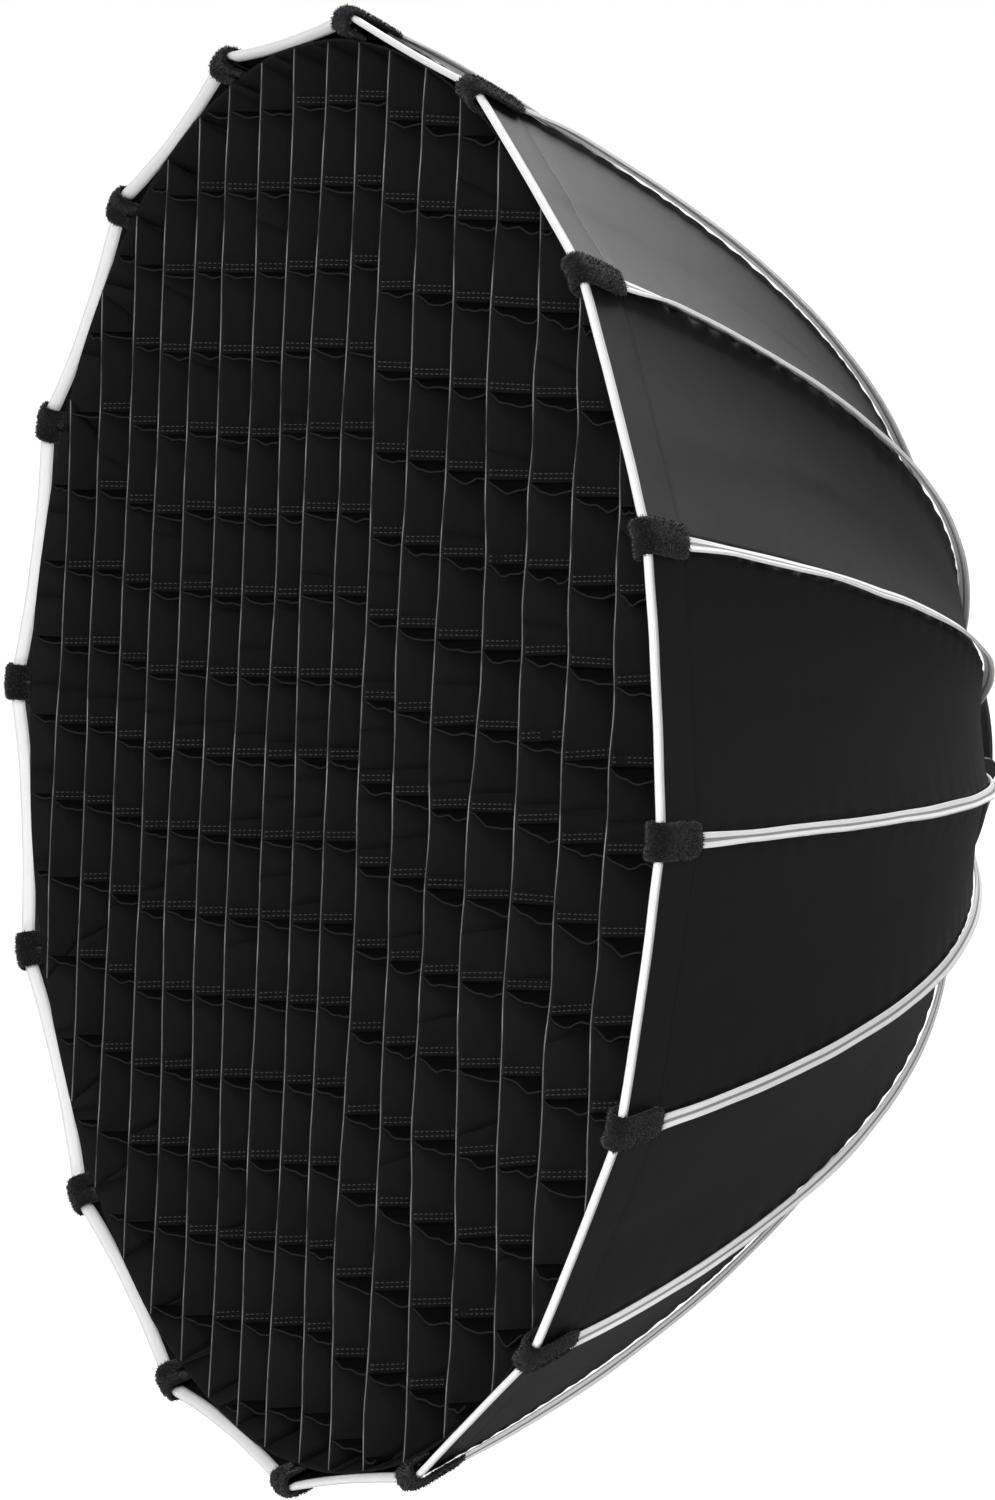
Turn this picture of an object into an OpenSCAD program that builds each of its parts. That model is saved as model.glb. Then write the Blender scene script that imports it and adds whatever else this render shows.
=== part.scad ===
// Folding parabolic softbox with sixteen ribs, a fabric grid and a three-lug bayonet ring.
// Row frame: the origin is the centre of the bayonet ring's rear seating face.
// +Y points back towards the lamp, the mouth opens towards -Y, +Z is up, rib 1 is at the top.

/* [Shell] */
// Radius from the axis to the rim's corners
rim_r = 450; // [400:5:520]
// Depth of the shell's curve, from the rim plane to where it would meet the axis
shell_depth = 405; // [360:5:460]
// How late the shell's curve turns, as the power of its radius
shell_power = 2.57; // [2.3:0.01:2.9]
// Thickness of the shell fabric
fabric_t = 1.2; // [0.8:0.1:1.6]
// Inward sag of a gore between two ribs, as a share of the gap between them
gore_sag = 0.05; // [0.02:0.01:0.08]
// Height of the tape fin that stands on each rib seam
fin_h = 12; // [8:1:16]
// Thickness of the tape fin
fin_t = 2.4; // [1.6:0.2:3.2]
// Width of the tape that is folded over the rim
rim_tape_w = 12; // [8:1:16]
// Thickness of the folded rim tape
rim_tape_t = 3; // [2:0.5:4]
// Length of the loop pad at each rim corner
pad_l = 38; // [30:1:60]
// Width of the loop pad
pad_w = 24; // [20:1:40]
// Thickness of the loop pad
pad_t = 4; // [2:0.5:6]

/* [Ribs] */
// Diameter of a sprung rib rod
rod_d = 5; // [4:0.5:6]
// Distance from the shell's surface in to the middle of the rod
rod_inset = 7; // [6:0.5:9]
// Length of the cap on the rod's tip
cap_l = 14; // [10:1:20]
// Diameter of the cap on the rod's tip
cap_d = 8; // [7:0.5:10]

/* [Pivots] */
// Radius of the circle of rib pivots
pivot_r = 84; // [80:1:92]
// Distance from the seating face forward to the rib pivots
pivot_y = 34; // [32:1:44]
// Diameter of a pivot pin
pin_d = 3; // [2.5:0.1:4]
// Width of a rib socket, along its pin
socket_w = 12; // [10:1:14]
// Thickness of a rib socket
socket_t = 10; // [9:0.5:12]
// Distance from the pivots' circle out to the socket's mouth
socket_reach = 28; // [24:1:36]
// Depth of the rod in its socket
rod_grip = 18; // [12:1:20]
// Length of the heel behind the pin, which the release ring holds
heel_l = 9; // [8:0.5:11]
// Height of the heel's bearing face above the pin
heel_h = 6; // [5.5:0.5:7]
// Thickness of a clevis ear
ear_t = 4; // [3:0.5:5]
// Running gap at each side of a socket
ear_gap = 0.3; // [0.2:0.1:0.5]

/* [Hub] */
// Radius of the light opening
bore_r = 49; // [44:0.5:52]
// Thickness of the bayonet flange
flange_t = 5; // [4:0.5:7]
// Width of the bayonet flange, from the light opening out
flange_w = 25; // [23:1:30]
// Wall of the bayonet ring's spigot
spigot_wall = 3; // [2:0.5:3]
// Length of the spigot
spigot_l = 9; // [6:1:14]
// Thickness of the rear housing's plate
plate_t = 6; // [5:0.5:8]
// Bevel round the plate's rear edge
plate_bevel = 5; // [2:0.5:6]
// Thickness of the rear housing's skirt
skirt_t = 4; // [3:0.5:5]
// Gap between the skirt's front edge and the pivots
skirt_clear = 7.5; // [7.5:0.5:9]
// Height of a bayonet lug above the seating face
lug_h = 9; // [7:0.5:12]
// Thickness of a bayonet lug's hook
lug_hook_t = 3.5; // [2.5:0.5:4]
// Number of bayonet lugs
lug_count = 3; // [3:1:3]
// Diameter of the screws through the bayonet flange
screw_d = 3; // [2.5:0.5:3]
// Number of screws through the bayonet flange
screw_count = 4; // [4:1:6]

/* [Release] */
// Thickness of the release ring
ring_t = 4; // [3:0.5:5]
// Width of the release ring
ring_w = 17; // [15:1:18]
// Gap between the release ring and the heels
ring_gap = 0.3; // [0.2:0.1:0.5]
// Number of springs behind the release ring
spring_count = 4; // [4:4:8]
// Diameter of the spring wire
wire_d = 1; // [0.8:0.1:1.2]
// Turns of a release spring
spring_turns = 5; // [4:1:6]
// Diameter of a release button's cap
button_d = 16; // [12:1:16]
// Travel of a release button
button_travel = 3.5; // [2:0.5:4]
// Diameter of a release button's stem
stem_d = 8; // [6:1:9]

/* [Fabrics inside] */
// Distance between the grid's strips
cell = 50; // [40:1:60]
// Depth of the grid, front to back
grid_depth = 50; // [40:1:60]
// Distance of the grid's front edge behind the rim plane
grid_front = 6; // [4:1:12]
// Thickness of a grid strip
strip_t = 1.2; // [0.8:0.1:2]
// Gap between the grid and the shell's inside
grid_clear = 14; // [14:1:18]
// Distance of the front diffuser behind the rim plane
front_cloth_y = 66; // [60:1:80]
// Distance of the inner diffuser behind the rim plane
inner_cloth_y = 230; // [200:1:260]
// Radius of the inner diffuser
inner_cloth_r = 190; // [160:5:210]
// Thickness of a diffuser cloth
cloth_t = 1.2; // [0.8:0.1:1.6]
// Width of an elastic strap
strap_w = 20; // [12:1:30]

/* [Hidden] */
rib_count = 16;
step = 360 / rib_count;
half_step = step / 2;

function two(n) = n < 10 ? str("0", n) : str(n);
RIBS = [for (k = [1:rib_count]) str("rib_", two(k))];
SOCKETS = [for (k = [1:rib_count]) str("socket_", two(k))];
GORES = [for (k = [1:rib_count]) str("gore_", two(k))];

fit = 0.2; // sliding gap between hub pieces
pin_fit = 0.05; // radial running gap round a pivot pin
rod_fit = 0.05; // radial gap round a rod in its socket
cap_fit = 0.3; // radial gap round a rod in its cap
seam_gap = 0.2; // half the gap between neighbouring gores
eps = 0.01; // overshoot of a cut past a face

// ---- the shell's curve: depth behind the rim plane, and slope, at a radius ----
function depth_at(r) = shell_depth * (1 - pow(r / rim_r, shell_power));
function radius_at(d) = rim_r * pow(1 - d / shell_depth, 1 / shell_power);
function slope_at(r) = atan(shell_depth * shell_power / rim_r * pow(r / rim_r, shell_power - 1));
// A point on the curve moved out of the shell by off; [radius, depth].
function curve(r, off) = [r + off * sin(slope_at(r)), depth_at(r) + off * cos(slope_at(r))];

// The rib's arm runs along the tangent at the socket's mouth, through the pivot.
socket_mouth_r = pivot_r + socket_reach;
arm_a = slope_at(socket_mouth_r);
mouth = curve(socket_mouth_r, -rod_inset);
pivot_depth = mouth[1] + (mouth[0] - pivot_r) * tan(arm_a);
rim_y = -pivot_y - pivot_depth;
arm_l = (mouth[0] - pivot_r) / cos(arm_a);
arm_t = socket_t - 1.6;
arm_w = socket_w - 0.6;
boss_in = pin_d / 2 + 1; // the arm and the heel start this far out, inside the boss

// ---- hub levels along Y ----
plate_back = -flange_t;
plate_front = plate_back - plate_t;
skirt_front = -pivot_y + skirt_clear;
heel_top = -pivot_y + heel_h;
heel_under = 3.6; // thickness of the heel below the pin
ear_top = heel_top - 0.8;
base_top = -pivot_y - socket_t / 2 - 1.5;
base_front = base_top - 4;
ring_front = heel_top + ring_gap;
ring_back = ring_front + ring_t;

// ---- hub radii ----
flange_r = bore_r + flange_w;
spigot_r = bore_r + spigot_wall;
tube_in = spigot_r + fit;
neck_r = tube_in + screw_d + 2.8;
tube_r = neck_r + 2;
ring_in = tube_r + 1;
ring_out = ring_in + ring_w;
skirt_r = pivot_r + 6;
base_r = pivot_r - 5;
ear_r0 = tube_r + 4;
ear_r1 = pivot_r + 6;
screw_r = (tube_in + neck_r) / 2;
spring_r = (ring_in + ring_out) / 2;
post_r = 2.2;
coil_gap = 0.6; // radial gap in a coil, whose eight flat runs a turn dip inwards
coil_r = post_r + wire_d / 2 + coil_gap;
spring_l = plate_front - ring_back;
ear_z = socket_w / 2 + ear_gap;

// Turns +Z onto +Y.
module along_y() rotate([-90, 0, 0]) children();
// Turns local +X to the direction of rib k, keeping +Y; local -Z then points to rib k + 1.
module at_rib(k) rotate([0, -(90 - step * (k - 1)), 0]) children();
module ring_y(r_in, r_out, y0, y1)
    along_y() translate([0, 0, y0]) difference() {
        cylinder(r = r_out, h = y1 - y0, $fn = 96);
        translate([0, 0, -eps]) cylinder(r = r_in, h = y1 - y0 + 2 * eps, $fn = 96);
    }
module rod_y(r, y0, y1) along_y() translate([0, 0, y0]) cylinder(r = r, h = y1 - y0, $fn = 32);

// A closed skin over rings of the same number of points, with flat ends.
module skin(rings) {
    n = len(rings[0]);
    m = len(rings);
    points = [for (ring = rings) each ring];
    sides = [for (i = [0:m - 2], j = [0:n - 1])
        let (a = i * n + j, b = i * n + (j + 1) % n) [a, b, b + n, a + n]];
    split = [for (q = sides) each [[q[0], q[1], q[2]], [q[0], q[2], q[3]]]];
    // The ends are laddered across, so that a thin curved end stays flat-faced and whole.
    ladder = [for (j = [0:n / 2 - 2]) each
        [[j, n - 1 - j, n - 2 - j], [j, n - 2 - j, j + 1]]];
    last = [for (t = ladder) [for (v = [2:-1:0]) (m - 1) * n + t[v]]];
    polyhedron(points = points, faces = concat(split, ladder, last));
}

// ---- ribs ----
rod_r0 = socket_mouth_r;
rod_r1 = rim_r - 5;
rod_rings = 16;
rod_sides = 8;
function rod_radius(i) = rod_r0 + (rod_r1 - rod_r0) * i / rod_rings;
// The rod's middle line in the rib's plane, with its straight end inside the socket first.
rod_path = concat(
    [[mouth[0] - rod_grip * cos(arm_a), mouth[1] + rod_grip * sin(arm_a)]],
    [for (i = [0:rod_rings]) curve(rod_radius(i), -rod_inset)]);
function rod_angle(i) = i == 0 ? arm_a : slope_at(rod_radius(i - 1));
function rod_ring(i) = [for (j = [0:rod_sides - 1])
    let (a = 360 * j / rod_sides, u = rod_d / 2 * cos(a), w = -rod_d / 2 * sin(a), s = rod_angle(i))
    [rod_path[i][0] + u * sin(s), rim_y + rod_path[i][1] + u * cos(s), w]];

module rib(k) color("dimgray") at_rib(k) {
    skin([for (i = [0:rod_rings + 1]) rod_ring(i)]);
    tip_cap();
}
module tip_cap() {
    tip = rod_path[rod_rings + 1];
    a = slope_at(rod_r1);
    translate([tip[0], rim_y + tip[1], 0]) rotate([0, 0, -a]) rotate([0, 90, 0])
        translate([0, 0, -cap_l / 2]) difference() {
            union() {
                cylinder(d = cap_d, h = cap_l - cap_d / 2, $fn = 32);
                translate([0, 0, cap_l - cap_d / 2]) sphere(d = cap_d, $fn = 32);
            }
            translate([0, 0, -1]) cylinder(d = rod_d + 2 * cap_fit, h = cap_l / 2 + 2, $fn = 32);
        }
}

module socket(k) color("silver") at_rib(k) translate([pivot_r, -pivot_y, 0]) difference() {
    union() {
        translate([0, 0, -socket_w / 2]) cylinder(d = socket_t, h = socket_w, $fn = 48);
        // The arm and the heel are a little slimmer than the boss round the pin.
        rotate([0, 0, -arm_a]) translate([boss_in, -arm_t / 2, -arm_w / 2])
            cube([arm_l - boss_in, arm_t, arm_w]);
        translate([-heel_l, -heel_under, -arm_w / 2])
            cube([heel_l - boss_in, heel_under + heel_h, arm_w]);
    }
    cylinder(d = pin_d + 2 * pin_fit, h = 2 * socket_w, center = true, $fn = 32);
    rotate([0, 0, -arm_a]) translate([arm_l - rod_grip, 0, 0]) rotate([0, 90, 0])
        cylinder(d = rod_d + 2 * rod_fit, h = rod_grip + 1, $fn = 32);
    // The grub screw's hole, from outside onto the rod.
    rotate([0, 0, -arm_a]) translate([arm_l - rod_grip / 2, 0, 0]) rotate([-90, 0, 0])
        cylinder(d = 2.5, h = socket_t, $fn = 24);
}

// ---- shell ----
gore_r0 = skirt_r + 3.5;
sag_run = 100; // the sag grows over this much radius, clear of the sockets
rim_hold = 0.85; // share of the sag that the rim's tape takes out again
rim_run = 150; // over this much radius
gore_rings = 12;
gore_across = 4;
function gore_radius(i) = gore_r0 + (rim_r - gore_r0) * i / gore_rings;
// A point of the gore that starts at rib k, in rib k's frame: t runs 0 to 1 to the next rib.
// The gore is straight from rib to rib, and sags in the middle away from the hub.
function gore_point(r, t, off) =
    let (sag = gore_sag * 2 * r * sin(half_step) * 4 * t * (1 - t)
            * min(1, (r - gore_r0) / sag_run) * (1 - rim_hold * max(0, (r - rim_r + rim_run) / rim_run)),
         p = curve(r, off - sag),
         edge = seam_gap / (2 * r * sin(half_step)),
         u = edge + t * (1 - 2 * edge))
    [p[0] * (1 - u + u * cos(step)), rim_y + p[1], -p[0] * u * sin(step)];
function gore_ring(r) = concat(
    [for (j = [0:gore_across]) gore_point(r, j / gore_across, 0)],
    [for (j = [gore_across:-1:0]) gore_point(r, j / gore_across, -fabric_t)]);

fin_r0 = gore_r0 + 8;
pad_r = rim_r - 2;
fin_lift = 1; // the fin and the pad stand this far off the gore, clear of its facets
// The pad covers the last stretch of the seam, so the fin stops short of it.
fin_r1 = pad_r - pad_l * cos(slope_at(pad_r - pad_l * 0.2)) - 2;
fin_rings = 10;
function fin_radius(i) = fin_r0 + (fin_r1 - fin_r0) * i / fin_rings;
function fin_ring(r) =
    let (a = curve(r, fin_lift), b = curve(r, fin_h))
    [[a[0], rim_y + a[1], fin_t / 2], [b[0], rim_y + b[1], fin_t / 2],
     [b[0], rim_y + b[1], -fin_t / 2], [a[0], rim_y + a[1], -fin_t / 2]];

module gore(k) color([0.14, 0.14, 0.15]) at_rib(k) {
    skin([for (i = [0:gore_rings]) gore_ring(gore_radius(i))]);
    skin([for (i = [0:fin_rings]) fin_ring(fin_radius(i))]);
    rim_tape();
    loop_pad();
}
// The tape along the rim from this rib's corner to the next.
module rim_tape() {
    chord = 2 * rim_r * sin(half_step);
    gap = pad_w / 2 + 1;
    translate([rim_r, rim_y - fin_lift - rim_tape_t, 0]) rotate([0, half_step, 0])
        translate([rim_tape_t - rim_tape_w, 0, gap - chord])
            cube([rim_tape_w, rim_tape_t, chord - 2 * gap]);
}
module loop_pad() {
    a = slope_at(pad_r - pad_l * 0.2);
    p = curve(pad_r, 1.6 * fin_lift);
    translate([p[0], rim_y + p[1], 0]) rotate([0, 0, -a])
        translate([-pad_l, 0, -pad_w / 2]) cube([pad_l, pad_t, pad_w]);
}

// ---- hub ----
module lug(a) rotate([0, a, 0]) {
    // A post with a hook that reaches round at its end.
    lug_r = bore_r + 11;
    translate([lug_r, -1, -8]) cube([4, lug_h + 1, 16]);
    translate([lug_r, lug_h - lug_hook_t, -8]) cube([4, lug_hook_t, 26]);
}
module bayonet_ring() color("gainsboro") difference() {
    union() {
        ring_y(bore_r, flange_r, -flange_t, 0);
        ring_y(bore_r, spigot_r, -flange_t - spigot_l, -flange_t + 1);
        for (i = [0:lug_count - 1]) lug(-90 + i * 360 / lug_count);
    }
    at_screws() {
        rod_y(screw_d / 2 + 0.1, -flange_t - 1, 1);
        rod_y(screw_d, -screw_d - 0.2, 1);
    }
}
module at_screws()
    for (i = [0:screw_count - 1]) rotate([0, 45 + i * 360 / screw_count, 0])
        translate([screw_r, 0, 0]) children();
module screws() color("black") at_screws() {
    rod_y(screw_d / 2 - 0.05, -flange_t - 11, -screw_d);
    difference() {
        rod_y(screw_d - 0.25, -screw_d - 0.1, -0.2);
        along_y() translate([0, 0, -screw_d * 0.6])
            cylinder(d = screw_d * 0.8, h = screw_d, $fn = 6);
    }
}
module hub_base() color("gray") difference() {
    union() {
        ring_y(tube_in, tube_r, base_front, plate_front);
        ring_y(tube_in, neck_r, plate_front - 1, plate_back);
        ring_y(tube_in, base_r, base_front, base_top);
        for (k = [1:rib_count]) at_rib(k) ears();
    }
    for (k = [1:rib_count]) at_rib(k) translate([pivot_r, -pivot_y, 0])
        cylinder(d = pin_d, h = 60, center = true, $fn = 32);
    at_screws() rod_y(screw_d / 2, -flange_t - 12, 0);
}
module ears()
    for (side = [-1, 1]) translate([ear_r0, base_front, side > 0 ? ear_z : -ear_z - ear_t])
        cube([ear_r1 - ear_r0, ear_top - base_front, ear_t]);
module hinge_pins() color("lightgray")
    for (k = [1:rib_count]) at_rib(k) translate([pivot_r, -pivot_y, 0])
        cylinder(d = pin_d, h = 2 * (ear_z + ear_t), center = true, $fn = 32);

button_y = (skirt_front + plate_front) / 2 + 1;
module rear_housing() color([0.2, 0.2, 0.2]) difference() {
    union() {
        difference() {
            along_y() translate([0, 0, plate_front])
                cylinder(r1 = skirt_r, r2 = skirt_r - plate_bevel, h = plate_t, $fn = 96);
            rod_y(neck_r + fit, plate_front - 1, plate_back + 1);
        }
        ring_y(skirt_r - skirt_t, skirt_r, skirt_front, plate_front + 1);
        at_springs() rod_y(post_r, heel_top + ring_gap + 0.2, plate_front + 1);
    }
    for (side = [0, 180]) rotate([0, side, 0]) translate([skirt_r - skirt_t - 2, button_y, 0])
        rotate([0, 90, 0]) cylinder(d = stem_d + 2 * fit, h = skirt_t + 4, $fn = 32);
}
module at_springs()
    for (i = [0:spring_count - 1]) rotate([0, half_step + i * 360 / spring_count, 0])
        translate([spring_r, 0, 0]) children();
module release_ring() color("silver") difference() {
    ring_y(ring_in, ring_out, ring_front, ring_back);
    at_springs() rod_y(post_r + 0.3, ring_front - 1, ring_back + 1);
}

// ---- springs ----
wire_sides = 6;
turn_rings = 8;
// Rings of a coil about +Z that fits between two faces len_free apart.
function coil(r, turns, len_free) =
    let (rise = len_free - wire_d - 0.2, n = turns * turn_rings)
    [for (i = [0:n]) let (a = 360 * i / turn_rings, z = wire_d / 2 + 0.1 + rise * i / n)
        [for (j = [0:wire_sides - 1]) let (b = 360 * j / wire_sides)
            [(r + wire_d / 2 * cos(b)) * cos(a), (r + wire_d / 2 * cos(b)) * sin(a),
             z + wire_d / 2 * sin(b)]]];
cap_under = skirt_r + button_travel + 2.5;
module springs() color("lightsteelblue") {
    at_springs() along_y() translate([0, 0, ring_back]) skin(coil(coil_r, spring_turns, spring_l));
    for (side = [0, 180]) rotate([0, side, 0]) translate([skirt_r, button_y, 0])
        rotate([0, 90, 0]) skin(coil(stem_d / 2 + wire_d / 2 + coil_gap, 3, cap_under - skirt_r));
}
module release_button(side) color("dimgray") rotate([0, side, 0]) {
    inner = skirt_r - skirt_t - 3;
    translate([0, button_y, 0]) rotate([0, 90, 0]) {
        translate([0, 0, inner]) cylinder(d = stem_d, h = cap_under - inner + 1, $fn = 48);
        translate([0, 0, inner]) cylinder(d = stem_d + 4, h = 1.6, $fn = 48);
        difference() {
            union() {
                translate([0, 0, cap_under]) cylinder(d = button_d, h = 3, $fn = 48);
                translate([0, 0, cap_under + 3]) cylinder(d1 = button_d, d2 = button_d - 2, h = 1, $fn = 48);
            }
            // A shallow dish for the thumb.
            translate([0, 0, cap_under + 23.2]) sphere(r = 20, $fn = 64);
        }
    }
}

// ---- fabrics inside ----
module disc16(r, y, t) along_y() translate([0, 0, rim_y + y]) rotate([0, 0, 90])
    linear_extrude(t) polygon([for (i = [0:rib_count - 1]) [r * cos(i * step), r * sin(i * step)]]);
// The shell's inside at a depth, clear of the rods' tips: the radius of a circle that fits.
function inside_r(d) = radius_at(d) - grid_clear;
module grid() color([0.1, 0.1, 0.1]) {
    r0 = inside_r(grid_front);
    r1 = inside_r(grid_front + grid_depth);
    border = 2;
    along_y() translate([0, 0, rim_y + grid_front]) {
        intersection() {
            cylinder(r1 = r0 - border + eps, r2 = r1 - border + eps, h = grid_depth, $fn = 96);
            linear_extrude(grid_depth) strips(r0);
        }
        difference() {
            cylinder(r1 = r0, r2 = r1, h = grid_depth, $fn = 96);
            translate([0, 0, -eps])
                cylinder(r1 = r0 - border, r2 = r1 - border, h = grid_depth + 2 * eps, $fn = 96);
        }
    }
}
module strips(r) {
    n = floor(r / cell);
    for (i = [-n:n]) {
        translate([i * cell - strip_t / 2, -r]) square([strip_t, 2 * r]);
        translate([-r, i * cell - strip_t / 2]) square([2 * r, strip_t]);
    }
}
module front_diffuser() color("white")
    disc16(radius_at(front_cloth_y + cloth_t) - grid_clear, front_cloth_y, cloth_t);
module inner_diffuser() color("white") {
    disc16(inner_cloth_r, inner_cloth_y, cloth_t);
    strap_end = radius_at(inner_cloth_y + cloth_t) - grid_clear;
    for (k = [1:2:rib_count]) at_rib(k)
        translate([inner_cloth_r - 10, rim_y + inner_cloth_y, -strap_w / 2])
            cube([strap_end - inner_cloth_r + 10, cloth_t, strap_w]);
}

bayonet_ring();
hub_base();
rear_housing();
release_ring();
springs();
release_button(180);  // release_button_left
release_button(0);  // release_button_right
hinge_pins();
screws();
grid();
front_diffuser();
inner_diffuser();
for (k = [1:rib_count]) {
    rib(k);
    socket(k);
    gore(k);
}
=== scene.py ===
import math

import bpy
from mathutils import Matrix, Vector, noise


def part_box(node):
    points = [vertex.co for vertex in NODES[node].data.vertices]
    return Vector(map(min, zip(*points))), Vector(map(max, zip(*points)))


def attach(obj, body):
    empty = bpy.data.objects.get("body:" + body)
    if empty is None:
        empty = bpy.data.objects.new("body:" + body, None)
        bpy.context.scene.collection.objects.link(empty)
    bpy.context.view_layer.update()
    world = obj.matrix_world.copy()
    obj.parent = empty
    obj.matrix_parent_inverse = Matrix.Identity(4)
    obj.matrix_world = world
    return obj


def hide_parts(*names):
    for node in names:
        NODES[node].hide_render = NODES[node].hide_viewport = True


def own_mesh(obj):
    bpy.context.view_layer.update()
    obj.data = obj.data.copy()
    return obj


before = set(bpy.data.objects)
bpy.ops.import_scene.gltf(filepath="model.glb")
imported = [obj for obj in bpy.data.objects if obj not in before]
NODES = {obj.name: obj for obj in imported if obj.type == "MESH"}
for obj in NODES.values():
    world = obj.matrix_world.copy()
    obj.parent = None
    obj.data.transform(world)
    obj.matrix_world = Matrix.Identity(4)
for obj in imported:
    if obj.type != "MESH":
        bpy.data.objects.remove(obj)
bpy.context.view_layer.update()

# %% [markdown]
# # A folding parabolic softbox
#
# The object is a round light shaper for a studio lamp. Sixteen sprung steel rods stand in sockets
# round an aluminium hub, and sixteen black nylon gores are stretched between them into a deep bowl.
# A fabric grid of square cells fills the mouth, and two white cloths hang behind it.
# The real one is sewn flat and gets its shape only from the rods, so the sheets here are computed
# from the same curve as the rods: straight from rib to rib, and a little slack in between.
#
# Everything is in metres. The origin is the middle of the bayonet ring's rear face, +Y points back
# to the lamp, the mouth opens towards -Y, and rib 1 stands at the top.

print("CAD nodes:", len(NODES))

# %% Sizes of the shell
RIBS = 16
STEP = 2 * math.pi / RIBS
RIM_R = 0.450  # rim corner radius
SHELL_DEPTH = 0.405
SHELL_POWER = 2.57
GORE_SAG = 0.05  # share of the gap between two ribs
GORE_R0 = 0.0935  # inner edge of a gore
SAG_RUN = 0.100  # the sag grows over this much radius
RIM_HOLD, RIM_RUN = 0.85, 0.150  # the rim's tape takes most of the sag out again
FRONT_CLOTH_DEPTH, INNER_CLOTH_DEPTH = 0.066, 0.230  # behind the rim plane
RIM_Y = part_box("front_diffuser")[0].y - FRONT_CLOTH_DEPTH
RIM_CHORD = 2 * RIM_R * math.sin(STEP / 2)
print("rim plane at y =", round(RIM_Y, 4))


# %% [markdown]
# ## The curve of the shell
#
# One power curve gives the depth behind the rim at any radius. The rods, the seams and the cloth
# all follow it, as the sewn cover follows the bent rods on the real object.

# %% Curve functions
def depth_at(r):
    return SHELL_DEPTH * (1 - (max(r, 0) / RIM_R) ** SHELL_POWER)


def radius_at(depth):
    return RIM_R * (1 - depth / SHELL_DEPTH) ** (1 / SHELL_POWER)


def slope_at(r):
    return math.atan(SHELL_DEPTH * SHELL_POWER / RIM_R * (r / RIM_R) ** (SHELL_POWER - 1))


def curve(r, off):
    s = slope_at(r)
    return r + off * math.sin(s), depth_at(r) + off * math.cos(s)


def rib_out(k):
    """The direction outwards along rib k."""
    a = math.pi / 2 - STEP * (k - 1)
    return Vector((math.cos(a), 0, math.sin(a)))


def rib_side(k):
    """Square to rib k's plane, towards rib k + 1."""
    a = math.pi / 2 - STEP * (k - 1)
    return Vector((math.sin(a), 0, -math.cos(a)))


def on_rib(k, r, off, side=0.0):
    """A point off the seam of rib k; to the side the cloth drops with its neighbour gores."""
    p = curve(r, off)
    drop = abs(side) * math.tan(STEP / 2)
    return rib_out(k) * (p[0] - drop) + rib_side(k) * side + Vector((0, RIM_Y + p[1], 0))


def on_gore(k, r, t, off):
    """A point of the gore from rib k (t = 0) to rib k + 1 (t = 1)."""
    gap = 2 * r * math.sin(STEP / 2)
    sag = GORE_SAG * gap * 4 * t * (1 - t) * min(1, max(0, (r - GORE_R0) / SAG_RUN))
    sag *= 1 - RIM_HOLD * max(0, (r - RIM_R + RIM_RUN) / RIM_RUN)
    p = curve(r, off - sag)
    flat = rib_out(k) * (1 - t) + rib_out(k + 1) * t
    return flat * p[0] + Vector((0, RIM_Y + p[1], 0))


def arc_radii(r0, r1, pitch):
    """Radii from r0 to r1 that are evenly spaced along the curve."""
    fine = [r0 + (r1 - r0) * i / 400 for i in range(401)]
    run = [0.0]
    for a, b in zip(fine, fine[1:]):
        run.append(run[-1] + math.hypot(b - a, depth_at(b) - depth_at(a)))
    count = max(2, round(run[-1] / pitch))
    out, j = [], 0
    for i in range(count + 1):
        want = run[-1] * i / count
        while j < 399 and run[j + 1] < want:
            j += 1
        f = (want - run[j]) / max(run[j + 1] - run[j], 1e-9)
        out.append(fine[j] + (fine[j + 1] - fine[j]) * f)
    return out, run[-1]


def wobble(*at):
    """Smooth noise from -1 to 1."""
    return noise.noise(Vector((at + (0.0, 0.0, 0.0))[:3]))


def ease(x):
    x = min(1, max(0, x))
    return x * x * (3 - 2 * x)


print("shell depth at 100 mm radius:", round(depth_at(0.1), 4))

# %% [markdown]
# ## Camera
#
# The object is seen from well round its right side and a little above, through a long lens,
# so that the mouth is a narrow ellipse and the near gores show their outside.

# %% Camera
AZIMUTH, ELEVATION, ROLL = (math.radians(a) for a in (63.02, 5.68, 2.52))
DISTANCE = 6.45
LENS = 255.4
SHIFT_RIGHT, SHIFT_UP = 0.110, 0.004  # of the camera, across its line of sight


def make_camera():
    back = Vector((math.sin(AZIMUTH) * math.cos(ELEVATION),
                   -math.cos(AZIMUTH) * math.cos(ELEVATION), math.sin(ELEVATION)))
    right = (-back).cross(Vector((0, 0, 1))).normalized()
    up = right.cross(-back)
    right, up = (math.cos(ROLL) * right + math.sin(ROLL) * up,
                 math.cos(ROLL) * up - math.sin(ROLL) * right)
    data = bpy.data.cameras.new("camera")
    data.lens, data.sensor_width = LENS, 36
    data.clip_start, data.clip_end = 0.5, 60
    cam = bpy.data.objects.new("camera", data)
    bpy.context.scene.collection.objects.link(cam)
    turn = Matrix((right, up, back)).transposed().to_4x4()
    centre = Vector((0, RIM_Y, 0))
    cam.matrix_world = Matrix.Translation(
        centre + back * DISTANCE + right * SHIFT_RIGHT + up * SHIFT_UP) @ turn
    bpy.context.scene.camera = cam


make_camera()
print("camera in place")

# %% [markdown]
# ## Light and floor
#
# Four broad soft lights and a white surround: one overhead and behind, one at the side, a weaker
# one in front and a faint one below. The floor lies well below, as the softbox hangs on a lamp.

# %% Light and floor
FLOOR_Z = -1.3


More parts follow.
